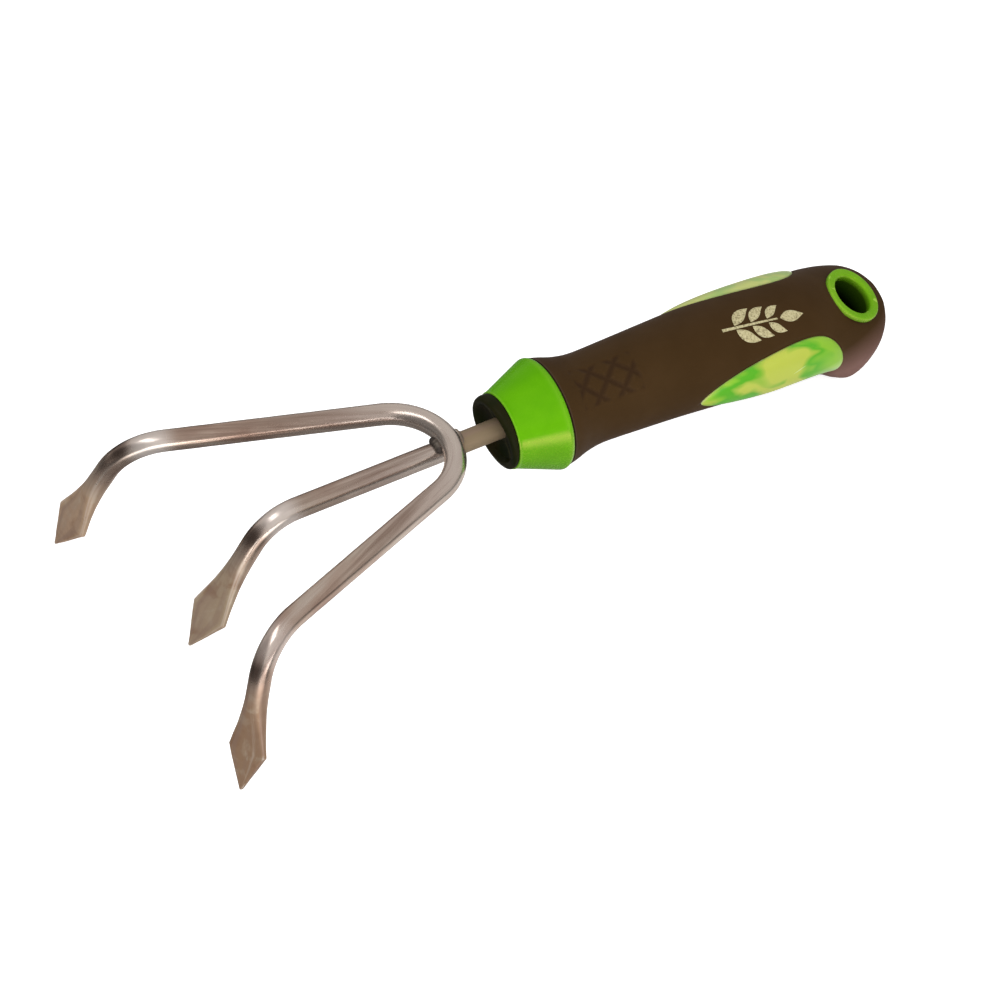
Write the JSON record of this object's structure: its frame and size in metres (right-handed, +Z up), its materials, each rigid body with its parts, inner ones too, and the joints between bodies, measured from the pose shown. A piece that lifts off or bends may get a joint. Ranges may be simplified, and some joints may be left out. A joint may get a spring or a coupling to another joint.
{
  "type": "hand cultivator",
  "caption": "Hand cultivator: bent steel rod tines with flat diamond points, welded together ahead of a collared soft-grip handle with a hanging eyelet.",
  "frame": {"origin": "centre of the bounding box at its lowest level, where the middle tine's point touches the ground", "axes": "+X along the shaft from the tines to the butt of the grip, +Z up with the tines hooked down, +Y across the tines"},
  "size_m": [0.27, 0.1254, 0.0612],
  "materials": {
    "steel": "satin plated steel rod, warm grey, streaked by forging at the bends and points",
    "weld": "darkened weld metal",
    "green_plastic": "glossy bright green moulding",
    "dark_plastic": "near-black brown, semi-matt",
    "core_plastic": "hard green core, not seen",
    "grip_rubber": "matt dark brown overmould, fine grained",
    "gel": "soft translucent green gel with pale yellow marbling"
  },
  "bodies": {
    "root": {"centre_tine": "steel", "outer_tines": "steel", "weld_bead_front": "weld", "weld_bead_rear": "weld", "front_collar": "green_plastic", "nose_cap": "dark_plastic", "handle_core": "core_plastic", "grip_sleeve": "grip_rubber", "gel_pad_left": "gel", "gel_pad_right": "gel", "hang_hole_eyelet": "green_plastic"}
  },
  "joints": []
}
